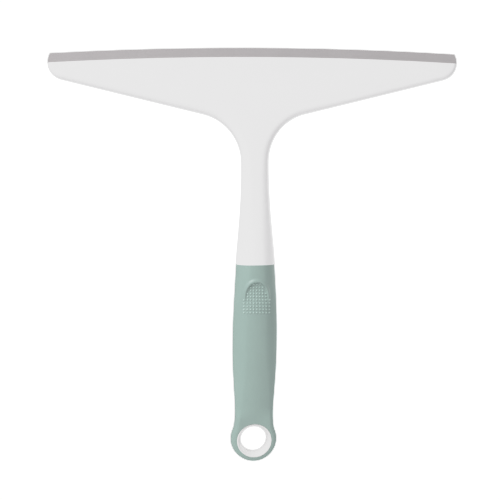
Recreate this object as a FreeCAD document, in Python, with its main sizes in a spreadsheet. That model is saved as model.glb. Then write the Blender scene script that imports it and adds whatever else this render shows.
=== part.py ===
import FreeCAD, Part
import math
import os
import re

import Sketcher

from FreeCAD import Vector

# A window squeegee with a bowed rubber blade, a hollow two-half body, a soft grip and a hanging eye.
# Millimetres. +Z runs from the hanging hole up to the blade, -Y is the front face that the thumb
# rests on, +X is to the right seen from the front. The origin is the centre of the hanging hole.
# "Depth" is along Y. The body's middle line bends backwards towards the hole.

SIZES = [
    ("head_width", 250.0, "tip to tip across the head and the blade"),
    ("head_top", 232.3, "top of the plastic head at the middle, above the hanging hole"),
    ("bow_radius", 2150.0, "radius of the gentle bow of the head's top edge"),
    ("blade_reveal", 5.9, "height of rubber that shows above the head"),
    ("tip_radius", 11.0, "radius of the head's rounded ends, seen from the front"),
    ("tip_drop", 2.8, "widest point of the ends, below the head's top at the middle"),
    ("head_slope", 13.7, "rise of the head's lower edge towards the ends, degrees"),
    ("neck_arc", 30.0, "radius between the head's lower edge and the neck"),
    ("neck_width", 16.0, "width of the neck at its narrowest"),
    ("seam_height", 106.3, "height where the soft grip ends and the bare neck begins"),
    ("seam_width", 23.3, "width of neck and grip at the seam"),
    ("thumb_height", 88.0, "height of the thumb rest's middle"),
    ("grip_height", 57.0, "height where the grip is widest"),
    ("grip_width", 27.0, "width of the grip there"),
    ("waist_height", 15.0, "height of the waist above the round end"),
    ("waist_width", 23.0, "width of the grip at the waist"),
    ("end_rim", 3.2, "width of soft grip around the eyelet's flange, at the round end"),
    ("lip_depth", 7.0, "depth of the head along the blade"),
    ("neck_depth", 13.8, "depth of the neck"),
    ("seam_depth", 20.0, "depth at the seam"),
    ("thumb_depth", 21.6, "depth under the thumb rest"),
    ("grip_depth", 20.8, "depth of the grip where it is widest"),
    ("waist_depth", 13.4, "depth at the waist"),
    ("end_depth", 11.0, "depth of the round end"),
    ("head_set_back", 11.7, "how far the blade's plane is in front of the hanging hole"),
    ("neck_set_back", 15.5, "how far the neck's middle is in front of the hanging hole"),
    ("thumb_set_back", 13.6, "how far the grip's middle is in front of the hole under the thumb rest"),
    ("grip_set_back", 9.1, "how far the grip's middle is in front of the hole where it is widest"),
    ("end_tilt", 11.5, "backward tilt of the round end and its hole, degrees"),
    ("tip_round", 2.6, "edge rounding at the ends of the head"),
    ("head_round", 3.4, "edge rounding where the head meets the neck's arc"),
    ("neck_round", 5.6, "edge rounding of the neck"),
    ("grip_round", 8.2, "edge rounding of the grip"),
    ("end_round", 3.0, "edge rounding of the round end"),
    ("shell_wall", 2.4, "wall of the two body halves, front and rear"),
    ("rim_wall", 3.2, "wall of the two body halves around their welded rim"),
    ("sleeve_wall", 2.6, "wall of the soft grip over the tang"),
    ("rib_thickness", 1.6, "thickness of the stiffening ribs in the head"),
    ("rib_pitch", 27.0, "distance from one rib to the next"),
    ("post_radius", 3.2, "radius of the posts in which the two halves locate"),
    ("pin_radius", 1.5, "radius of the locating pins of the rear half"),
    ("pin_length", 2.6, "length of a locating pin in front of the parting face"),
    ("pin_clearance", 0.1, "clearance around a locating pin and at its end"),
    ("lip_base", 3.2, "thickness of the rubber lip where it leaves the head"),
    ("lip_edge", 1.4, "thickness of the rubber lip at its wiping edge"),
    ("web_thickness", 2.0, "thickness of the rubber web inside the head"),
    ("web_height", 3.2, "height of that web"),
    ("bead_thickness", 4.0, "thickness of the bead that anchors the rubber"),
    ("bead_height", 2.4, "height of that bead"),
    ("spine_thickness", 1.2, "thickness of the stiff strip in the bead"),
    ("spine_height", 1.4, "height of that strip"),
    ("root_inset", 12.0, "how far the anchored root stops short of the ends of the head"),
    ("hole_radius", 8.0, "radius of the hanging hole at its throat"),
    ("hole_land", 4.0, "length of the hole's straight throat"),
    ("mouth_flare", 1.7, "how much wider the hole's radius is at the eyelet's faces"),
    ("barrel_wall", 1.2, "wall of the eyelet's barrel at the throat"),
    ("flange_width", 1.5, "how far the eyelet's flanges reach over the soft grip"),
    ("flange_thickness", 1.5, "thickness of the eyelet's flanges"),
    ("eyelet_proud", 0.2, "how far the eyelet stands out of the grip's faces"),
]

doc = FreeCAD.newDocument("squeegee")
sheet = doc.addObject("Spreadsheet::Sheet", "Sizes")
for row, (alias, value, meaning) in enumerate(SIZES, start=1):
    sheet.set(f"A{row}", alias)
    sheet.set(f"B{row}", str(value))
    sheet.set(f"C{row}", meaning)
    sheet.setAlias(f"B{row}", alias)
doc.recompute()


def size(alias):
    """The value of a driving dimension, for the curves that are worked out here."""
    return float(sheet.get(alias))


def in_sheet(expression):
    """The expression with its dimension names made references to the sheet's cells."""
    return re.sub(r"[a-z]+_[a-z_]+", lambda name: f"Sizes.{name.group()}", expression)


def bind(piece, **expressions):
    """Ties properties of a document object to the driving dimensions."""
    for name, expression in expressions.items():
        piece.setExpression(name, in_sheet(expression))
    return piece


def feature(name, shape):
    """A shape worked out from the sheet, for the curved forms that no primitive or sketch fits."""
    piece = doc.addObject("Part::Feature", name)
    piece.Shape = shape
    return piece


def boolean(kind, name, *pieces):
    """A boolean of document objects: Cut and Common take two, MultiFuse any number."""
    result = doc.addObject(f"Part::{kind}", name)
    if kind == "MultiFuse":
        result.Shapes = list(pieces)
    else:
        result.Base, result.Tool = pieces
    result.Refine = kind != "Cut"
    return result


# ---------------------------------------------------------------- the outline, seen from the front

SLOPE = math.radians(size("head_slope"))
TILT = math.radians(size("end_tilt"))
BOW_CENTRE = size("head_top") - size("bow_radius")
BLADE_RADIUS = size("bow_radius") + size("blade_reveal")
TIP_X = size("head_width") / 2 - size("tip_radius")
TIP_Z = size("head_top") - size("tip_drop")
NECK_X = size("neck_width") / 2 + size("neck_arc")
JOIN_ANGLE = math.radians(22)  # where the waist runs into the round end
REACH = 60.0  # half the depth of the outlines' solids, well clear of the body
CUT = 200.0  # depth of the blocks and rods that cut right through the body
SAME = 1e-4  # points nearer than this are the same corner

# How far each curve of the handle runs straight on from its ends, as a share of its height.
NECK_RUN, SEAM_RUN = 0.44, 0.29
GRIP_RUN, WAIST_RUN, WAIST_RETURN = 0.38, 0.4, 0.24
END_RUN = 0.23  # the same into the round end, as a share of its radius
SEAM_FLARE = 1.05  # how much the handle widens over such a run at the seam
FLANGE_RADIUS = size("hole_radius") + size("barrel_wall") + size("flange_width")
END_RADIUS = FLANGE_RADIUS + size("end_rim")

outer_x = TIP_X + size("tip_radius") * math.sin(SLOPE)
outer_z = TIP_Z - size("tip_radius") * math.cos(SLOPE)
NECK_Z = outer_z - math.tan(SLOPE) * (outer_x - NECK_X) - size("neck_arc") / math.cos(SLOPE)


def arc(x, z, radius, start, end):
    """A circular arc about (x, z) in the XZ plane, between two directions in radians."""
    points = [
        Vector(x + radius * math.cos(a), 0, z + radius * math.sin(a))
        for a in (start, (start + end) / 2, end)
    ]
    return Part.Arc(*points)


def bezier(*points):
    curve = Part.BezierCurve()
    curve.setPoles([Vector(x, 0, z) for x, z in points])
    return curve


def head_curves(top_radius, inset):
    """Right-hand outline from the middle of the top edge to the end of the neck's arc."""
    tip, neck = size("tip_radius") - inset, size("neck_arc") + inset
    reach = math.hypot(TIP_X, TIP_Z - BOW_CENTRE)
    towards = math.atan2(TIP_Z - BOW_CENTRE, TIP_X)
    corner = towards - math.acos((top_radius**2 - tip**2 - reach**2) / (2 * tip * reach))
    corner_x, corner_z = TIP_X + tip * math.cos(corner), TIP_Z + tip * math.sin(corner)
    lower_end = Vector(TIP_X + tip * math.sin(SLOPE), 0, TIP_Z - tip * math.cos(SLOPE))
    arc_start = Vector(NECK_X - neck * math.sin(SLOPE), 0, NECK_Z + neck * math.cos(SLOPE))
    return [
        arc(0, BOW_CENTRE, top_radius, math.pi / 2, math.atan2(corner_z - BOW_CENTRE, corner_x)),
        arc(TIP_X, TIP_Z, tip, corner, SLOPE - math.pi / 2),
        Part.LineSegment(lower_end, arc_start),
        arc(NECK_X, NECK_Z, neck, math.pi / 2 + SLOPE, math.pi),
    ]


def neck_curve(inset):
    """Right-hand outline of the neck, down to the seam."""
    neck, seam = size("neck_width") / 2 - inset, size("seam_width") / 2 - inset
    drop = NECK_Z - size("seam_height")
    return bezier(
        (neck, NECK_Z),
        (neck, NECK_Z - NECK_RUN * drop),
        (seam - SEAM_FLARE, NECK_Z - (1 - SEAM_RUN) * drop),
        (seam, NECK_Z - drop),
    )


def grip_curves(inset):
    """Right-hand outline of the grip and its round end, down to the bottom."""
    seam, grip, waist = (size(k) / 2 - inset for k in ("seam_width", "grip_width", "waist_width"))
    seam_z, grip_z, waist_z = (size(k) for k in ("seam_height", "grip_height", "waist_height"))
    upper, belly = GRIP_RUN * (seam_z - grip_z), grip_z - waist_z
    end = END_RADIUS - inset
    join_x, join_z = end * math.cos(JOIN_ANGLE), end * math.sin(JOIN_ANGLE)
    lead = END_RUN * end
    return [
        bezier(
            (seam, seam_z),
            (seam + SEAM_FLARE, seam_z - upper),
            (grip, grip_z + upper),
            (grip, grip_z),
        ),
        bezier(
            (grip, grip_z),
            (grip, grip_z - WAIST_RUN * belly),
            (waist, waist_z + WAIST_RETURN * belly),
            (waist, waist_z),
        ),
        bezier(
            (waist, waist_z),
            (waist, waist_z - lead),
            (join_x - lead * math.sin(JOIN_ANGLE), join_z + lead * math.cos(JOIN_ANGLE)),
            (join_x, join_z),
        ),
        arc(0, 0, end, JOIN_ANGLE, -math.pi / 2),
    ]


def outline_solid(curves):
    """A deep solid with these right-hand curves and their mirror image as its outline."""
    edges = [curve.toShape() for curve in curves]
    corners = [edges[-1].Vertexes[-1].Point, edges[0].Vertexes[0].Point]
    corners = [corners[0], Vector(0, 0, corners[0].z), Vector(0, 0, corners[1].z), corners[1]]
    for start, end in zip(corners, corners[1:]):
        if start.distanceToPoint(end) > SAME:
            edges.append(Part.LineSegment(start, end).toShape())
    half = Part.Face(Part.Wire(edges)).extrude(Vector(0, 2 * REACH, 0))
    half.translate(Vector(0, -REACH, 0))
    return half.fuse(half.mirror(Vector(), Vector(1, 0, 0))).removeSplitter()


# ---------------------------------------------------------------- the profile, seen from the side

HEAD_Z = size("head_top")
END_DEPTH = size("end_depth") / math.cos(TILT)
END_BACK = math.tan(TILT)  # how far the tilted round end comes forward for each unit of height

HEAD_RUN = 12.0  # how far the side view runs on above the head's top edge
SHOULDER_DROP, SHOULDER_FORWARD = 24.0, 1.1  # where the head starts to thicken, and by how much
SHOULDER_SHARE = 0.4  # share of the neck's depth, against the lip's, at that place
NECK_RISE, NECK_DROP = 10.0, 12.0  # the neck keeps its depth this far above and below its arc
FLARE_PLACE, FLARE_SHARE = 0.45, 0.2  # place between neck and seam, and share of the seam's depth
STRAIGHTEN = 0.4  # how much less the body stands forward at the neck's top and at the seam
BELLY_BACK, BELLY_DEPTH = 0.1, 0.6  # how far the belly's lower half leaves a straight line
END_RUN_OUT = (0.9, 1.6)  # the side view runs on below the hole, in radii of the round end


def between(first, second, share):
    """The value that lies a share of the way from the first to the second."""
    return first + share * (second - first)


GRIP_Z, WAIST_Z, SEAM_Z = size("grip_height"), size("waist_height"), size("seam_height")

# Height, depth of the middle line in front of the hole, and depth through the body.
STATIONS = [
    (HEAD_Z + HEAD_RUN, size("head_set_back"), size("lip_depth")),
    (HEAD_Z, size("head_set_back"), size("lip_depth")),
    (
        HEAD_Z - SHOULDER_DROP,
        size("head_set_back") + SHOULDER_FORWARD,
        between(size("lip_depth"), size("neck_depth"), SHOULDER_SHARE),
    ),
    (NECK_Z + NECK_RISE, size("neck_set_back") - STRAIGHTEN, size("neck_depth") - STRAIGHTEN),
    (NECK_Z - NECK_DROP, size("neck_set_back"), size("neck_depth")),
    (
        between(NECK_Z, SEAM_Z, FLARE_PLACE),
        size("neck_set_back"),
        between(size("neck_depth"), size("seam_depth"), FLARE_SHARE),
    ),
    (SEAM_Z, size("neck_set_back") - STRAIGHTEN, size("seam_depth")),
    (size("thumb_height"), size("thumb_set_back"), size("thumb_depth")),
    (GRIP_Z, size("grip_set_back"), size("grip_depth")),
    (
        between(GRIP_Z, WAIST_Z, 0.5),
        between(size("grip_set_back"), END_BACK * WAIST_Z, 0.5) - BELLY_BACK,
        between(size("grip_depth"), size("waist_depth"), 0.5) + BELLY_DEPTH,
    ),
    (WAIST_Z, END_BACK * WAIST_Z, size("waist_depth")),
    (0, 0, END_DEPTH),
] + [(-run * END_RADIUS, -run * END_RADIUS * END_BACK, END_DEPTH) for run in END_RUN_OUT]


def side_curve(share, inset=0.0):
    """A line up the side view: share is -1 for the front face, 0 for the middle, 1 for the back."""
    curve = Part.BSplineCurve()
    curve.interpolate([
        Vector(0, share * (depth / 2 - inset) - forward, z) for z, forward, depth in STATIONS
    ])
    return curve.toShape()


def side_solid(front, back):
    """A wide solid between two lines of the side view."""
    ends = [
        Part.LineSegment(a.Vertexes[i].Point, b.Vertexes[i].Point).toShape()
        for a, b, i in ((front, back, 0), (front, back, -1))
    ]
    width = size("head_width")
    solid = Part.Face(Part.Wire([front, ends[1], back, ends[0]])).extrude(Vector(2 * width, 0, 0))
    solid.translate(Vector(-width, 0, 0))
    return solid


# ---------------------------------------------------------------- rounded edges

def chains(shape, top):
    """The front and the back chain of outline edges below top, each in order from the left."""
    loose = []
    for number, edge in enumerate(shape.Edges, start=1):
        a, b = edge.firstVertex(True).Point, edge.lastVertex(True).Point
        across = math.hypot(a.x - b.x, a.z - b.z) < SAME
        if not across and edge.BoundBox.ZMin < top:
            loose.append((number, a, b))
    found = []
    while loose:
        start = max((p for n, a, b in loose for p in (a, b) if p.x < 0), key=lambda p: (p.z, -p.x))
        chain = []
        while True:
            near = [e for e in loose if any(p.distanceToPoint(start) < SAME for p in e[1:])]
            if not near:
                break
            number, a, b = link = near[0]
            if a.distanceToPoint(start) > SAME:
                a, b = b, a
            chain.append((number, a, b))
            loose.remove(link)
            start = b
        found.append(chain)
    return found


ROUNDS = [
    (-END_RADIUS, "end_round"),
    (size("waist_height"), "end_round"),
    (size("grip_height"), "grip_round"),
    (size("seam_height"), "grip_round"),
    (NECK_Z, "neck_round"),
    (NECK_Z + size("neck_arc"), "head_round"),
    (outer_z, "tip_round"),
    (HEAD_Z + 50, "tip_round"),
]


def edge_round(z):
    """The edge rounding at a height, a straight mix of the two named roundings around it."""
    for (low, low_name), (high, high_name) in zip(ROUNDS, ROUNDS[1:]):
        if z <= high:
            share = max(0.0, (z - low) / (high - low))
            return size(low_name) + share * (size(high_name) - size(low_name))


front_space = feature("front_space", side_solid(side_curve(-6), side_curve(0)))


def rounded(name, form, top, share=1.0):
    """The form with its outline edges below top rounded, by a share of the outer rounding.

    The front and the back are each rounded on their own, and joined at the body's middle."""
    doc.recompute()
    kinds = {"front": "Common", "back": "Cut"}
    pair = sorted(chains(form.Shape, top), key=lambda chain: sum(a.y for _, a, _ in chain))
    halves = []
    for (side, kind), chain in zip(kinds.items(), pair):
        fillet = doc.addObject("Part::Fillet", f"{name}_{side}_rounded")
        fillet.Base = form
        fillet.Edges = [
            (number, share * edge_round(a.z), share * edge_round(b.z)) for number, a, b in chain
        ]
        halves.append(boolean(kind, f"{name}_{side}", fillet, front_space))
    return boolean("MultiFuse", name, *halves)


# ---------------------------------------------------------------- sketches and simple pieces

def bound_polygon(sketch, corners):
    """A closed polygon in a sketch, each corner placed by two expressions of the sheet."""
    corners = [[in_sheet(e) for e in corner] for corner in corners]
    values = [[float(sketch.evalExpression(e)) for e in corner] for corner in corners]
    points = [Vector(u, v, 0) for u, v in values]
    last = len(points) - 1
    for start, end in zip(points, points[1:] + points[:1]):
        sketch.addGeometry(Part.LineSegment(start, end), False)
    for i in range(last + 1):
        after = 0 if i == last else i + 1
        sketch.addConstraint(Sketcher.Constraint("Coincident", i, 2, after, 1))
    for i, corner in enumerate(corners):
        for axis, expression, value in zip("XY", corner, values[i]):
            number = sketch.addConstraint(Sketcher.Constraint(f"Distance{axis}", -1, 1, i, 1, value))
            sketch.setExpression(f"Constraints[{number}]", expression)


def block(name, width, depth, height, x, y, z):
    """A box whose sides follow the sheet, with its lowest corner at x, y, z."""
    box = bind(doc.addObject("Part::Box", name), Length=width, Width=depth, Height=height)
    box.Placement.Base = Vector(x, y, z)
    return box


def rod(name, radius, length, start, direction):
    """A round rod whose radius and length follow the sheet."""
    piece = bind(doc.addObject("Part::Cylinder", name), Radius=radius, Height=length)
    piece.Placement = FreeCAD.Placement(start, FreeCAD.Rotation(Vector(0, 0, 1), direction))
    return piece


FRONT = Vector(0, -1, 0)
ALONG_BLADE = FreeCAD.Rotation(Vector(1, 1, 1), 120)  # a sketch's X and Y become Y and Z


def bowed_strip(name, half_length, corners):
    """A strip that follows the bow of the head, from a section drawn as depth and height."""
    section = doc.addObject("Sketcher::SketchObject", f"{name}_section")
    section.Placement = FreeCAD.Placement(Vector(), ALONG_BLADE)
    bound_polygon(section, corners)
    strip = doc.addObject("Part::Revolution", name)
    strip.Source = section
    strip.Axis = Vector(0, 1, 0)
    strip.Base = Vector(0, 0, BOW_CENTRE)
    strip.Solid = True
    strip.Symmetric = True
    bind(strip, Angle=f"2 * asin(({half_length}) / bow_radius)")
    return strip


def middle_depth(z):
    """Y of the body's middle line at a height."""
    curve = side_curve(0).Curve
    low, high = curve.FirstParameter, curve.LastParameter
    for _ in range(50):
        half = (low + high) / 2
        low, high = (half, high) if curve.value(half).z > z else (low, half)
    return curve.value(low).y


# ---------------------------------------------------------------- outer form and hollow core

ROOT_HEIGHT = size("web_height") + size("bead_height")
WIDE, TALL = "2 * head_width", "2 * head_top"

outline = feature("outline", outline_solid(
    head_curves(BLADE_RADIUS, 0) + [neck_curve(0)] + grip_curves(0)
))
profile = feature("profile", side_solid(side_curve(-1), side_curve(1)))
BOW_DROP = size("head_width") ** 2 / 8 / size("bow_radius")  # of the bow at the ends of the head
tips_top = HEAD_Z + size("blade_reveal") - BOW_DROP - 0.5
outer_form = rounded("outer_form", boolean("Common", "sharp_form", outline, profile), tips_top)

THROUGH = str(CUT)
below_bow = rod("below_bow", "bow_radius", THROUGH, Vector(0, CUT / 2, BOW_CENTRE), FRONT)
below_seam = block(
    "below_seam", WIDE, THROUGH, TALL, -size("head_width"), -CUT / 2, SEAM_Z - 2 * HEAD_Z
)
head_and_neck = boolean("Cut", "head_and_neck", boolean(
    "Common", "below_blade", outer_form, below_bow), below_seam)
grip_form = boolean("Common", "grip_form", outer_form, below_seam)

sleeve = size("sleeve_wall")
tang_form = boolean(
    "Common",
    "tang_form",
    feature("tang_outline", outline_solid(grip_curves(sleeve))),
    feature("tang_profile", side_solid(side_curve(-1, sleeve), side_curve(1, sleeve))),
)
TANG_ROUND = 0.55  # edge rounding of the tang, as a share of the grip's outside
tang = rounded("tang", tang_form, SEAM_Z - 0.1, share=TANG_ROUND)


HOLLOW_END = 0.8  # how far the hollow stops short of the centre of the head's ends, in radii


def head_cavity_curves():
    """Right-hand outline of the hollow in the head, below the blade's root."""
    rim = size("rim_wall")
    top = size("bow_radius") - ROOT_HEIGHT - size("shell_wall")
    side = TIP_X - HOLLOW_END * size("tip_radius")
    neck = size("neck_arc") + rim
    arc_start = Vector(NECK_X - neck * math.sin(SLOPE), 0, NECK_Z + neck * math.cos(SLOPE))
    upper = Vector(side, 0, BOW_CENTRE + math.sqrt(top**2 - side**2))
    lower = Vector(side, 0, arc_start.z + math.tan(SLOPE) * (side - arc_start.x))
    return [
        arc(0, BOW_CENTRE, top, math.pi / 2, math.acos(side / top)),
        Part.LineSegment(upper, lower),
        Part.LineSegment(lower, arc_start),
        arc(NECK_X, NECK_Z, neck, math.pi / 2 + SLOPE, math.pi),
    ]


def handle_cavity_curves():
    """Right-hand outline of the hollow in the neck and tang, down to the waist."""
    inset = size("sleeve_wall") + size("rim_wall")
    return [neck_curve(inset)] + grip_curves(inset)[:2]


wall = size("shell_wall")
head_cavity = boolean(
    "Common",
    "head_cavity",
    feature("head_cavity_outline", outline_solid(head_cavity_curves())),
    feature("head_cavity_profile", side_solid(side_curve(-1, wall), side_curve(1, wall))),
)
handle_cavity = boolean(
    "Common",
    "handle_cavity",
    feature("handle_cavity_outline", outline_solid(handle_cavity_curves())),
    feature(
        "handle_cavity_profile",
        side_solid(side_curve(-1, sleeve + wall), side_curve(1, sleeve + wall)),
    ),
)

# The halves meet at ribs in the head, and at posts that hold the locating pins.
RIB_FOOT = 15.0  # height above the neck's arc where the ribs start
NECK_POST = 6.0  # the same for the post in the neck
LOW_POST = 0.7  # height of the post in the grip's belly, as a share of the belly's height
SIDE_POSTS = (-2.5, -1.5, 1.5, 2.5)  # places of the head's posts, in steps of the ribs

ribs = []
for number in range(-3, 4):
    x = number * size("rib_pitch") - size("rib_thickness") / 2
    foot = NECK_Z + RIB_FOOT
    ribs.append(
        block(f"rib_{number + 4}", "rib_thickness", THROUGH, "head_top", x, -CUT / 2, foot)
    )

lower_line = NECK_Z + (size("neck_arc") - NECK_X * math.sin(SLOPE)) / math.cos(SLOPE)
PLACES = [(0, NECK_Z + NECK_POST), (0, size("thumb_height")), (0, LOW_POST * GRIP_Z)]
for number in SIDE_POSTS:
    x = number * size("rib_pitch")
    low = lower_line + math.tan(SLOPE) * abs(x)
    high = HEAD_Z - ROOT_HEIGHT - wall - x**2 / 2 / size("bow_radius")
    PLACES.append((x, (low + size("rim_wall") + high) / 2))

posts, pins, sockets = [], [], []
for number, (x, z) in enumerate(PLACES, start=1):
    y = middle_depth(z)
    posts.append(rod(f"post_{number}", "post_radius", THROUGH, Vector(x, CUT / 2, z), FRONT))
    pins.append(rod(f"pin_{number}", "pin_radius", "pin_length + 1", Vector(x, y + 1, z), FRONT))
    sockets.append(rod(
        f"socket_{number}",
        "pin_radius + pin_clearance",
        "pin_length + pin_clearance + 1",
        Vector(x, y + 1, z),
        FRONT,
    ))

hollow = boolean(
    "Cut",
    "hollow",
    boolean("MultiFuse", "cavities", head_cavity, handle_cavity),
    boolean("MultiFuse", "ribs_and_posts", *ribs, *posts),
)

# ---------------------------------------------------------------- the rubber blade and its root

centre = "-head_set_back"
head_edge = "head_top"
web_end, bead_end = "head_top - web_height", "head_top - web_height - bead_height"
spine_low = f"{bead_end} + (bead_height - spine_height) / 2"
ROOT_LENGTH = "head_width / 2 - root_inset"


def symmetric_section(*steps):
    """Corners of a section that is symmetric about the blade's plane, from thickness and height."""
    right = [(f"{centre} + ({thickness}) / 2", height) for thickness, height in steps]
    left = [(f"{centre} - ({thickness}) / 2", height) for thickness, height in reversed(steps)]
    return right + left


SPARE = 3.0  # the lip starts this much longer than the head, and is trimmed to its outline
lip = bowed_strip("lip", f"head_width / 2 + {SPARE}", symmetric_section(
    ("lip_base", head_edge), ("lip_edge", "head_top + blade_reveal")
))
root = bowed_strip("root", ROOT_LENGTH, symmetric_section(
    ("bead_thickness", bead_end),
    ("bead_thickness", web_end),
    ("web_thickness", web_end),
    ("web_thickness", head_edge),
))
blade_spine = bowed_strip("blade_spine", ROOT_LENGTH, symmetric_section(
    ("spine_thickness", spine_low), ("spine_thickness", f"{spine_low} + spine_height")
))
trimming = feature("trimming", outline_solid(
    head_curves(BLADE_RADIUS + SPARE / 2, 0) + [neck_curve(0)] + grip_curves(0)
))
trimmed_lip = boolean("Common", "trimmed_lip", lip, trimming)
blade = boolean("Cut", "blade", boolean("MultiFuse", "rubber", trimmed_lip, root), blade_spine)

# ---------------------------------------------------------------- the hanging eyelet

BARREL = "(hole_radius + barrel_wall)"
FLANGE = f"({BARREL} + flange_width)"
MOUTH = "(hole_radius + mouth_flare)"
HALF = "(end_depth / 2 + eyelet_proud)"
UNDER = f"({HALF} - flange_thickness)"


def turned(name, corners):
    """A body turned about the hanging hole's axis, from corners as radius and height."""
    body = doc.addObject("PartDesign::Body", name)
    sketch = body.newObject("Sketcher::SketchObject", f"{name}_section")
    plane = next(f for f in body.Origin.OriginFeatures if f.Role == "XZ_Plane")
    sketch.AttachmentSupport = (plane, [""])
    sketch.MapMode = "FlatFace"
    bound_polygon(sketch, corners)
    turn = body.newObject("PartDesign::Revolution", f"{name}_turn")
    turn.Profile = sketch
    turn.ReferenceAxis = (sketch, ["V_Axis"])
    turn.Angle = 360
    body.Placement.Rotation = FreeCAD.Rotation(Vector(1, 0, 0), 90 + size("end_tilt"))
    body.setExpression("Placement.Rotation.Angle", "90 deg + Sizes.end_tilt * 1 deg")
    return body


eyelet_front = turned("eyelet_front", [
    ("hole_radius", "-hole_land / 2"),
    ("hole_radius", "hole_land / 2"),
    (MOUTH, HALF),
    (FLANGE, HALF),
    (FLANGE, UNDER),
    (BARREL, UNDER),
    (BARREL, "-hole_land / 2"),
])
eyelet_rear = turned("eyelet_rear", [
    ("hole_radius", "-hole_land / 2"),
    (MOUTH, f"-{HALF}"),
    (FLANGE, f"-{HALF}"),
    (FLANGE, f"-{UNDER}"),
    (BARREL, f"-{UNDER}"),
    (BARREL, "-hole_land / 2"),
])
eyelet_seat = turned("eyelet_seat", [
    ("0", "-end_depth"),
    (FLANGE, "-end_depth"),
    (FLANGE, f"-{UNDER}"),
    (BARREL, f"-{UNDER}"),
    (BARREL, UNDER),
    (FLANGE, UNDER),
    (FLANGE, "end_depth"),
    ("0", "end_depth"),
])

# ---------------------------------------------------------------- the two halves and the grip

solid_core = boolean("MultiFuse", "solid_core", head_and_neck, tang)
openings = boolean("MultiFuse", "openings", hollow, root, eyelet_seat)
core = boolean("Cut", "core", solid_core, openings)
front_half = boolean("Common", "front_half", core, front_space)
front_shell = boolean("Cut", "front_shell", front_half, boolean("MultiFuse", "pin_holes", *sockets))
rear_half = boolean("Cut", "rear_half", core, front_space)
rear_shell = boolean("MultiFuse", "rear_shell", rear_half, *pins)

tang_space = boolean("MultiFuse", "tang_space", tang, eyelet_seat)
grip_sleeve = boolean("Cut", "grip_sleeve", grip_form, tang_space)

PARTS = [front_shell, rear_shell, blade, blade_spine, grip_sleeve, eyelet_front, eyelet_rear]

doc.recompute()
for piece in doc.Objects:
    if "Invalid" in piece.State or "Error" in piece.State:
        raise RuntimeError(f"{piece.Name} did not build: {piece.State}")
for piece in PARTS:
    if piece.Shape.isNull() or not piece.Shape.isValid():
        raise RuntimeError(f"{piece.Label} has no valid shape")
    if len(piece.Shape.Solids) != 1:
        raise RuntimeError(f"{piece.Label} is {len(piece.Shape.Solids)} solids instead of one")

os.makedirs("parts", exist_ok=True)
for piece in PARTS:
    piece.Shape.exportStep(f"parts/{piece.Label}.step")
    print(f"{piece.Label}: {piece.Shape.Volume / 1000:.2f} cm3")
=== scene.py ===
import math

import bmesh
import bpy
from mathutils import Matrix, Vector


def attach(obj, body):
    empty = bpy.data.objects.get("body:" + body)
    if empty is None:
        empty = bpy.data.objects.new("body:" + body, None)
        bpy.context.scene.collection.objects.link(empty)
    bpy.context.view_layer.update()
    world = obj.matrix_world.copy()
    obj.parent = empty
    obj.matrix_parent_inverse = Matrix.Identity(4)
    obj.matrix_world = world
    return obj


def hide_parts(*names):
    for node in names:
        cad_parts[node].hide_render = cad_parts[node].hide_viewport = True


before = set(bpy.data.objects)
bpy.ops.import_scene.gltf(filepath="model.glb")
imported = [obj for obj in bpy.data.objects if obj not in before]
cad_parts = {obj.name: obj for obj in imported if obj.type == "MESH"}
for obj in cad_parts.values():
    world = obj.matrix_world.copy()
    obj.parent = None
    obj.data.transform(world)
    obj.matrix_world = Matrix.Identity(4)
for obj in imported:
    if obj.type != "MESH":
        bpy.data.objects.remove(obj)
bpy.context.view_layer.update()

# A window squeegee with a moulded white head and neck, a grey rubber blade, a sage soft grip with
# a dimpled thumb rest, and a white hanging eyelet. Metres. +Z runs from the hanging hole up to the
# blade, -Y is the front, and the origin is the middle of the hanging hole.

MM = 0.001

scene = bpy.context.scene


# ---------------------------------------------------------------- camera

VIEW_AZIMUTH = -6.2                 # degrees round from the front, negative to the left
VIEW_LEAN = -0.275                  # degrees that the camera is rolled
VIEW_DISTANCE = 1.60
VIEW_MIDDLE = (-2.8, -11.7, 115.3)  # where the camera looks, in millimetres
LENS, SENSOR = 189.5, 36            # millimetres
NEAREST, FARTHEST = 0.05, 20


def set_camera():
    """Level view from a little to the left of the front, framing the whole squeegee."""
    azimuth = math.radians(VIEW_AZIMUTH)
    back = Vector((math.sin(azimuth), -math.cos(azimuth), 0))
    camera = bpy.data.objects.new("camera", bpy.data.cameras.new("camera"))
    scene.collection.objects.link(camera)
    camera.data.lens = LENS
    camera.data.sensor_width = SENSOR
    camera.data.clip_start = NEAREST
    camera.data.clip_end = FARTHEST
    camera.location = Vector(VIEW_MIDDLE) * MM + back * VIEW_DISTANCE
    turn = (-back).to_track_quat("-Z", "Y").to_matrix()
    lean = Matrix.Rotation(math.radians(VIEW_LEAN), 3, "Z")
    camera.rotation_euler = (turn @ lean).to_euler()
    scene.camera = camera


set_camera()


# ---------------------------------------------------------------- studio

FILL = 0.57                   # light from all around
WHITE = 1.4                   # brightness that shows as pure white
BACKDROP = 1.05 * WHITE       # brightness of the backdrop, as the camera sees it
LIGHT_AIM = (0, 0, 0.12)      # what both soft boxes point at
COMBINED = 3                  # the curve for all three colours at once

# The camera's response: true in the middle tones, and gently flattened in the highlights.
RESPONSE = [(0.35, 0.35), (0.63, 0.655), (0.8, 0.765), (0.95, 0.807), (1.1, 0.825)]


def soft_box(name, place, width, height, power):
    light = bpy.data.lights.new(name, "AREA")
    light.shape = "RECTANGLE"
    light.size = width
    light.size_y = height
    light.energy = power
    lamp = bpy.data.objects.new(name, light)
    lamp.location = place
    lamp.rotation_euler = (Vector(LIGHT_AIM) - Vector(place)).to_track_quat("-Z", "Y").to_euler()
    scene.collection.objects.link(lamp)


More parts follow.
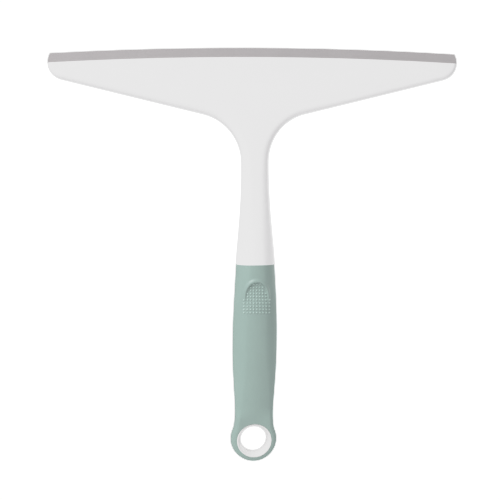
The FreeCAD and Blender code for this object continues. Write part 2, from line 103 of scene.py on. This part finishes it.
def set_response():
    view = scene.view_settings
    view.view_transform = "Standard"
    view.look = "None"
    view.exposure = 0
    view.gamma = 1
    view.use_curve_mapping = True
    mapping = view.curve_mapping
    mapping.white_level = (WHITE, WHITE, WHITE)
    curve = mapping.curves[COMBINED]
    for light, shown in RESPONSE:
        curve.points.new(light / WHITE, shown)
    mapping.update()


def set_world():
    """A white studio, whose backdrop shows as white but lights the object more gently."""
    world = bpy.data.worlds.new("studio")
    world.use_nodes = True
    nodes, links = world.node_tree.nodes, world.node_tree.links
    nodes.clear()
    out = nodes.new("ShaderNodeOutputWorld")
    fill = nodes.new("ShaderNodeBackground")
    fill.inputs["Color"].default_value = (1, 1, 1, 1)
    fill.inputs["Strength"].default_value = FILL
    seen = nodes.new("ShaderNodeBackground")
    seen.inputs["Color"].default_value = (1, 1, 1, 1)
    seen.inputs["Strength"].default_value = BACKDROP
    path = nodes.new("ShaderNodeLightPath")
    mix = nodes.new("ShaderNodeMixShader")
    links.new(path.outputs["Is Camera Ray"], mix.inputs["Fac"])
    links.new(fill.outputs[0], mix.inputs[1])
    links.new(seen.outputs[0], mix.inputs[2])
    links.new(mix.outputs[0], out.inputs["Surface"])
    scene.world = world


set_world()
set_response()
soft_box("key_light", place=(-1.12, -1.2, 1.4), width=0.8, height=0.8, power=28)
soft_box("rear_light", place=(1.5, 1.2, 0.7), width=1.0, height=1.2, power=9)


# ---------------------------------------------------------------- materials

MOTTLING = 60.0                    # scale of the slight unevenness in colour and gloss
MOTTLE_DETAIL, GRAIN_DETAIL = 3, 2
GLOSS_SPREAD = 0.05                # how far the roughness strays to each side of its middle


def material(name):
    """A new material, with its nodes, its links and its shader."""
    made = bpy.data.materials.new(name)
    made.use_nodes = True
    nodes = made.node_tree.nodes
    return made, nodes, made.node_tree.links, nodes["Principled BSDF"]


def srgb(r, g, b):
    """A screen colour, each part from 0 to 255, as the shader's linear colour."""
    def linear(v):
        v = v / 255
        return v / 12.92 if v <= 0.04045 else ((v + 0.055) / 1.055) ** 2.4
    return (linear(r), linear(g), linear(b), 1)


def moulded(name, light, dark, roughness, grain, grain_depth):
    """Moulded plastic or rubber: slightly uneven colour and gloss, and a fine even grain."""
    made, nodes, links, shader = material(name)
    where = nodes.new("ShaderNodeTexCoord")

    mottle = nodes.new("ShaderNodeTexNoise")
    mottle.inputs["Scale"].default_value = MOTTLING
    mottle.inputs["Detail"].default_value = MOTTLE_DETAIL
    links.new(where.outputs["Object"], mottle.inputs["Vector"])
    tint = nodes.new("ShaderNodeMix")
    tint.data_type = "RGBA"
    tint.inputs["A"].default_value = dark
    tint.inputs["B"].default_value = light
    links.new(mottle.outputs["Fac"], tint.inputs["Factor"])
    links.new(tint.outputs["Result"], shader.inputs["Base Color"])

    gloss = nodes.new("ShaderNodeMapRange")
    gloss.inputs["To Min"].default_value = roughness - GLOSS_SPREAD
    gloss.inputs["To Max"].default_value = roughness + GLOSS_SPREAD
    links.new(mottle.outputs["Fac"], gloss.inputs["Value"])
    links.new(gloss.outputs["Result"], shader.inputs["Roughness"])

    fine = nodes.new("ShaderNodeTexNoise")
    fine.inputs["Scale"].default_value = grain
    fine.inputs["Detail"].default_value = GRAIN_DETAIL
    links.new(where.outputs["Object"], fine.inputs["Vector"])
    bump = nodes.new("ShaderNodeBump")
    bump.inputs["Strength"].default_value = 1
    bump.inputs["Distance"].default_value = grain_depth
    links.new(fine.outputs["Fac"], bump.inputs["Height"])
    links.new(bump.outputs["Normal"], shader.inputs["Normal"])
    return made


def paint_highlight(finish, highlight_colour):
    """Paints a highlight into the finish: it is made paler where the piece's per-point highlight
    values ask for it.
    """
    nodes, links = finish.node_tree.nodes, finish.node_tree.links
    shader = nodes["Principled BSDF"]
    colour = shader.inputs["Base Color"].links[0].from_socket
    painted_highlight = nodes.new("ShaderNodeAttribute")
    painted_highlight.attribute_name = "painted_highlight"
    highlight_mix = nodes.new("ShaderNodeMix")
    highlight_mix.data_type = "RGBA"
    links.new(painted_highlight.outputs["Fac"], highlight_mix.inputs["Factor"])
    links.new(colour, highlight_mix.inputs["A"])
    highlight_mix.inputs["B"].default_value = highlight_colour
    links.new(highlight_mix.outputs["Result"], shader.inputs["Base Color"])


white = moulded(
    "white_plastic", light=srgb(244, 243, 244), dark=srgb(240, 239, 240),
    roughness=0.42, grain=1500, grain_depth=0.01 * MM,
)
rubber = moulded(
    "grey_rubber", light=srgb(173, 170, 171), dark=srgb(167, 164, 165),
    roughness=0.6, grain=1800, grain_depth=0.01 * MM,
)
strip = moulded(
    "strip_plastic", light=srgb(120, 122, 124), dark=srgb(112, 114, 116),
    roughness=0.5, grain=1800, grain_depth=0.01 * MM,
)
ring_white = moulded(
    "ring_plastic", light=srgb(232, 231, 231), dark=srgb(227, 226, 226),
    roughness=0.35, grain=1500, grain_depth=0.003 * MM,
)
sage = moulded(
    "sage_grip", light=srgb(156, 174, 169), dark=srgb(150, 168, 163),
    roughness=0.42, grain=1300, grain_depth=0.01 * MM,
)
# Painted highlight: the grip's dots get paler tops, which stand in for the light falling on them.
paint_highlight(sage, highlight_colour=srgb(186, 204, 199))

NODE_FINISHES = {
    "blade": rubber,
    "blade_spine": strip,
}


def finish_nodes():
    """Gives the CAD nodes that are shown as they are their materials."""
    for name, finish in NODE_FINISHES.items():
        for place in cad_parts[name].material_slots:
            place.material = finish


finish_nodes()


# ---------------------------------------------------------------- the handle's form

SEAM = 106.3  # height where the soft grip meets the bare neck

# Height, half width and front-to-back middle of the handle, from the round end to the head.
HALF_WIDTH, MIDDLE = 1, 2  # the places of the last two in each row
HANDLE = [
    (0, 13.9, 0.0),
    (15, 11.5, -3.05),
    (26.2, 12.3, -4.6),
    (40.8, 13.2, -6.6),
    (57, 13.5, -9.1),
    (80.9, 12.97, -12.8),
    (SEAM, 11.65, -15.1),
    (121, 10.8, -15.6),
    (140, 8.8, -15.5),
    (157, 8.0, -15.5),
    (180, 8.0, -15.3),
]


def smooth_step(low, high, value):
    """Rises smoothly from 0 at low to 1 at high."""
    share = min(1.0, max(0.0, (value - low) / (high - low)))
    return share * share * (3 - 2 * share)


def along_handle(z, column):
    """A column of the table at any height, joined up smoothly between its rows."""
    last = len(HANDLE) - 1
    z = min(max(z, HANDLE[0][0]), HANDLE[last][0])
    at = next(i for i in range(1, last + 1) if z <= HANDLE[i][0])
    before, low, high, after = (HANDLE[min(max(i, 0), last)] for i in range(at - 2, at + 2))
    span = high[0] - low[0]
    share = (z - low[0]) / span
    slope_low = (high[column] - before[column]) / (high[0] - before[0]) * span
    slope_high = (after[column] - low[column]) / (after[0] - low[0]) * span
    a, b = low[column], high[column]
    return (
        (2 * share**3 - 3 * share**2 + 1) * a + (share**3 - 2 * share**2 + share) * slope_low
        + (3 * share**2 - 2 * share**3) * b + (share**3 - share**2) * slope_high
    )


HANDLE_FOOT, HANDLE_TOP = 8, 170     # the heights between which the form is changed
HANDLE_SIDE = 20                     # and how far from the middle, to each side
CROWN = 0.42                         # how much shallower the handle is at its sides than its middle
CROWN_REACH = 1.3                    # share of the half width past which that grows no further
CROWN_START, CROWN_FULL = 10, 20     # heights where the crown starts, and is at its full depth
CROWN_FADE, CROWN_END = 108, 150     # heights where it starts to fade, and has gone
SEAM_RISE = 0.65                     # how far up the seam is moved, at the handle's sides
SEAM_LEAN = 0.09                     # and how much more to the back and less to the front
SEAM_FULL, SEAM_END = 4, 20          # distances from the seam that move fully, and not at all


def crowned(point):
    """Where a point of the CAD handle lies once its faces are crowned and its seam leans."""
    x, y, z = point / MM
    if z > HANDLE_TOP or z < HANDLE_FOOT or abs(x) > HANDLE_SIDE:
        return point
    half = along_handle(z, HALF_WIDTH)
    middle = along_handle(z, MIDDLE)
    here = smooth_step(CROWN_START, CROWN_FULL, z) * (1 - smooth_step(CROWN_FADE, CROWN_END, z))
    bulge = 1 - CROWN * here * min(CROWN_REACH, abs(x) / half) ** 2
    below = smooth_step(SEAM - SEAM_END, SEAM - SEAM_FULL, z)
    above = 1 - smooth_step(SEAM + SEAM_FULL, SEAM + SEAM_END, z)
    lean = below * above * (SEAM_RISE + SEAM_LEAN * (y - middle))
    return Vector((x, middle + (y - middle) * bulge, z + lean)) * MM


SIDEWAYS, UPWARD = 0, 2   # the axes that cuts are spaced along
WELD = 0.0005 * MM        # points of a CAD mesh closer than this are one point
TOUCH = 0.001 * MM        # so are a new piece's, and points this near a cut are on it


def copied(node):
    """A copy of a CAD node's mesh to work on, with its loose triangles joined up."""
    made = bmesh.new()
    made.from_mesh(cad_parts[node].data)
    bmesh.ops.remove_doubles(made, verts=made.verts, dist=WELD)
    return made


def cut_grid(made, faces, axis, places):
    """Cuts these faces by parallel planes, so that they can bend, and gives all the pieces."""
    faces = list(faces)
    if not places or not faces:
        return faces
    middle = len(places) // 2
    normal = Vector((0, 0, 0))
    normal[axis] = 1
    at = normal * places[middle] * MM
    edges = {e for f in faces for e in f.edges}
    verts = {v for f in faces for v in f.verts}
    cut = bmesh.ops.bisect_plane(
        made, geom=[*verts, *edges, *faces], dist=TOUCH, plane_co=at, plane_no=normal
    )
    sides = ([], [])
    for face in cut["geom"]:
        if isinstance(face, bmesh.types.BMFace):
            sides[face.calc_center_median()[axis] > at[axis]].append(face)
    below = cut_grid(made, sides[0], axis, places[:middle])
    return below + cut_grid(made, sides[1], axis, places[middle + 1:])


def steps(low, high, pitch):
    """Evenly spaced places from low to high, about a pitch apart."""
    count = round((high - low) / pitch)
    return [low + (high - low) * i / count for i in range(count + 1)]


def finished(name, made, finish, slot, *nodes, sharp=35):
    """The piece that stands for these CAD nodes, shaded smooth except at its sharp edges."""
    mesh = bpy.data.meshes.new(name)
    made.to_mesh(mesh)
    made.free()
    for layer in [a.name for a in mesh.attributes if a.name in ("custom_normal", "sharp_edge")]:
        mesh.attributes.remove(mesh.attributes[layer])
    mesh.materials.clear()
    mesh.materials.append(finish)
    mesh.shade_smooth()
    mesh.set_sharp_from_angle(angle=math.radians(sharp))
    piece = bpy.data.objects.new(name, mesh)
    scene.collection.objects.link(piece)
    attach(piece, "root")
    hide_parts(*nodes)


# ---------------------------------------------------------------- the two white halves

ACROSS = steps(-12, 12, 1.5)                     # cuts from side to side
NECK_CUTS = steps(SEAM + 0.5, HANDLE_TOP, 2.2)   # cuts up the neck, from just above the seam
NECK_CUT_TOP = 172                               # faces that reach higher aren't cut


def in_neck(face):
    return all(
        v.co.z < NECK_CUT_TOP * MM and abs(v.co.x) < HANDLE_SIDE * MM for v in face.verts
    )


def shell_half(name, node):
    """A white half, with the neck cut finely enough to take the crown."""
    made = copied(node)
    neck = cut_grid(made, filter(in_neck, made.faces), UPWARD, NECK_CUTS)
    cut_grid(made, neck, SIDEWAYS, ACROSS)
    for vert in made.verts:
        vert.co = crowned(vert.co)
    finished(name, made, white, "white_plastic", node)


shell_half("front_half", "front_shell")
shell_half("rear_half", "rear_shell")


# ---------------------------------------------------------------- the soft grip and its thumb rest

GRIP_CUTS = steps(14, 104, 2.5)      # cuts up the grip
GRIP_SHARP = 50                      # degrees past which the grip's edges are sharp

REST_BASE = 85.0                     # height where the arch springs from its straight legs
REST_HALF, REST_RISE = 7.2, 11.1     # half width and height of the hollow's edge above that
REST_POWER = 2.2                     # how square the arch is: 2 is a plain ellipse
LEG_FADE = 5                         # how far above and below the base the ridge's legs fade out
WALL_DEPTH, WALL = 0.55, 0.9         # depth and run of the step down from the edge
BOWL_DEPTH, BOWL = 0.8, 6.0          # how much deeper the hollow's floor sinks, and how far in
FLOOR_BELOW, FLOOR_ABOVE = 6, 7      # how far below and above the base the floor runs out
RIM_HEIGHT = 0.56                    # height of the ridge around the hollow
RIM_TOP, RIM_RUN = 0.4, 1.3          # width of its top, and run of its outer slope at the sides
RIM_SPREAD = 0.65                    # how much longer that slope is over the arch

DOT_ROWS = [3, 5, 5, 7, 7, 9, 9, 9, 9, 9]  # dots in each row, from the top
DOT_TOP = 94.7                       # height of the top row
DOT_PITCH, DOT_RADIUS, DOT_HEIGHT = 1.92, 0.56, 0.5
DOT_DOME = 0.75                      # slope of the dots: 0.5 is a half ball's, 1 is gentler
HIGHLIGHT_FULL, HIGHLIGHT_GONE = 0.3, 0.95      # radii, as shares of a dot's, where the painted highlight is full and where it has gone

REST_SIDE = 10.5                     # how far from the middle the thumb rest's mesh may reach
REST_FOOT, REST_TOP = 74, 100        # and the heights between which it lies
TO_FRONT = -0.5                      # faces that look less to the front than this are left out
REST_PITCH = DOT_PITCH / 9           # size of its mesh
ROWS_BELOW, ROWS_ABOVE = 96, 25      # rows of its mesh below and above the top dots' middles
COLUMNS = 49                         # columns of its mesh to each side
TINY = 1e-6                          # a place nearer the arch's middle than this counts as it


def off_dot(x, z):
    """How far a place is from the middle of the nearest dot, in dot radii."""
    row = round((DOT_TOP - z) / DOT_PITCH)
    column = round(x / DOT_PITCH)
    if not 0 <= row < len(DOT_ROWS) or abs(column) > DOT_ROWS[row] // 2:
        return math.inf
    return math.hypot(x - column * DOT_PITCH, z - DOT_TOP + row * DOT_PITCH) / DOT_RADIUS


def thumb_relief(x, z):
    """How far the thumb rest stands out of the grip at a place, in millimetres."""
    up = max(0.0, z - REST_BASE)
    share = (abs(x / REST_HALF) ** REST_POWER + (up / REST_RISE) ** REST_POWER) ** (1 / REST_POWER)
    reach = math.hypot(x, up)
    outside = reach * (1 - 1 / share) if share > TINY else -REST_HALF
    legs = smooth_step(REST_BASE - LEG_FADE, REST_BASE + LEG_FADE, z)
    run = RIM_RUN * (1 + RIM_SPREAD * smooth_step(0, REST_RISE, up))
    ridge = RIM_HEIGHT * legs * (1 - smooth_step(RIM_TOP, RIM_TOP + run, outside))
    inside = 1 - smooth_step(-WALL, 0, outside)
    sunk = 1 - min(1.0, max(0.0, 1 + outside / BOWL)) ** 2
    here = smooth_step(REST_BASE - FLOOR_BELOW, REST_BASE + FLOOR_ABOVE, z)
    floor = here * (WALL_DEPTH + BOWL_DEPTH * sunk)
    height = ridge * (1 - inside) - floor * inside
    off = off_dot(x, z)
    if off < 1:
        height += DOT_HEIGHT * (1 - off**2) ** DOT_DOME
    return height


def in_rest(face):
    middle = face.calc_center_median() / MM
    level = REST_FOOT < middle.z < REST_TOP
    return abs(middle.x) < REST_SIDE and level and face.normal.y < TO_FRONT


def soft_grip():
    """The sleeve, crowned like the neck, with the thumb rest raised and sunk into its front."""
    made = copied("grip_sleeve")
    painted_highlight = made.verts.layers.float.new("painted_highlight")
    strips = cut_grid(made, made.faces, UPWARD, GRIP_CUTS)
    cut_grid(made, strips, SIDEWAYS, ACROSS)
    made.normal_update()

    low = DOT_TOP - ROWS_BELOW * REST_PITCH
    high = DOT_TOP + ROWS_ABOVE * REST_PITCH
    half = COLUMNS * REST_PITCH
    front = filter(in_rest, made.faces)
    strips = cut_grid(made, front, UPWARD, steps(low, high, REST_PITCH))
    cells = cut_grid(made, strips, SIDEWAYS, steps(-half, half, REST_PITCH))
    rest = {v for f in cells for v in f.verts}
    where = {v: (v.co.x / MM, v.co.z / MM) for v in rest}

    for vert in made.verts:
        vert.co = crowned(vert.co)
    made.normal_update()

    # Each point of the thumb rest moves along its normal, by the relief where it started.
    moves = {v: v.normal.copy() * thumb_relief(*where[v]) * MM for v in rest}
    for vert, move in moves.items():
        vert.co += move
        # Painted highlight: each dot's top is marked to be painted paler, fully near its middle and
        # fading out towards its edge.
        vert[painted_highlight] = 1 - smooth_step(HIGHLIGHT_FULL, HIGHLIGHT_GONE, off_dot(*where[vert]))
    finished("soft_grip", made, sage, "sage_grip", "grip_sleeve", sharp=GRIP_SHARP)


soft_grip()


# ---------------------------------------------------------------- the hanging eyelet

TILT = math.radians(11.5)                            # lean of the hole
THROAT, MOUTH, BARREL, FLANGE = 8.0, 9.7, 9.2, 10.7  # radii
FACE, FLANGE_BACK, LAND = 5.7, 4.2, 2.0              # distances from the middle, along the hole
TURNS = 120                                          # sides of a full circle
SAME = 0.01 * MM                                     # how near an edge is to the one looked for


def round_edges(made, edges, radius, segments):
    bmesh.ops.bevel(
        made, geom=edges, offset=radius * MM, segments=segments,
        affect="EDGES", profile=0.5, material=-1, clamp_overlap=True,
    )


def eyelet_half(name, node, side):
    """One half of the eyelet: side is 1 for the front half and -1 for the rear one."""
    made = bmesh.new()
    if side > 0:
        profile = [(THROAT, -LAND), (THROAT, LAND), (MOUTH, FACE), (FLANGE, FACE),
                   (FLANGE, FLANGE_BACK), (BARREL, FLANGE_BACK), (BARREL, -LAND)]
    else:
        profile = [(THROAT, LAND), (MOUTH, FACE), (FLANGE, FACE),
                   (FLANGE, FLANGE_BACK), (BARREL, FLANGE_BACK), (BARREL, LAND)]
    # The profile gives radii and distances along the hole, towards this half's own face.
    verts = [made.verts.new((r * MM, -side * h * MM, 0)) for r, h in profile]
    edges = [made.edges.new((a, b)) for a, b in zip(verts, verts[1:] + verts[:1])]
    bmesh.ops.spin(
        made, geom=verts + edges, cent=(0, 0, 0), axis=(0, 1, 0), dvec=(0, 0, 0),
        angle=2 * math.pi, steps=TURNS, use_merge=True,
    )
    bmesh.ops.remove_doubles(made, verts=made.verts, dist=TOUCH)

    def ring(radius, height):
        """The circle of edges at this radius and distance along the hole."""
        return [
            e for e in made.edges
            if all(
                abs(math.hypot(v.co.x, v.co.z) - radius * MM) < SAME
                and abs(v.co.y + side * height * MM) < SAME
                for v in e.verts
            )
        ]

    if side > 0:
        round_edges(made, ring(THROAT, LAND), radius=1.5, segments=6)
    round_edges(made, ring(MOUTH, FACE), radius=0.35, segments=4)
    round_edges(made, ring(FLANGE, FACE), radius=0.5, segments=4)
    bmesh.ops.recalc_face_normals(made, faces=made.faces)
    lean = Matrix.Rotation(TILT, 3, "X")
    bmesh.ops.rotate(made, verts=made.verts, cent=(0, 0, 0), matrix=lean)
    finished(name, made, ring_white, "white_plastic", node)


eyelet_half("eyelet_ring_front", "eyelet_front", 1)
eyelet_half("eyelet_ring_rear", "eyelet_rear", -1)


# ---------------------------------------------------------------- floor

FLOOR_RADIUS = 0.6
FLOOR_SIDES = 128
FLOOR_HEIGHT = -0.10
FLOOR_GREY = 0.9
FLOOR_ROUGHNESS = 0.9


def lay_floor():
    """A round, pale floor some way below the squeegee."""
    mesh = bpy.data.meshes.new("floor")
    made = bmesh.new()
    bmesh.ops.create_circle(made, cap_ends=True, segments=FLOOR_SIDES, radius=FLOOR_RADIUS)
    bmesh.ops.translate(made, vec=(0, 0, FLOOR_HEIGHT), verts=made.verts)
    made.to_mesh(mesh)
    made.free()
    floor = bpy.data.objects.new("floor", mesh)
    scene.collection.objects.link(floor)
    paint, _, _, shader = material("floor_paint")
    shader.inputs["Base Color"].default_value = (FLOOR_GREY, FLOOR_GREY, FLOOR_GREY, 1)
    shader.inputs["Roughness"].default_value = FLOOR_ROUGHNESS
    mesh.materials.append(paint)


lay_floor()
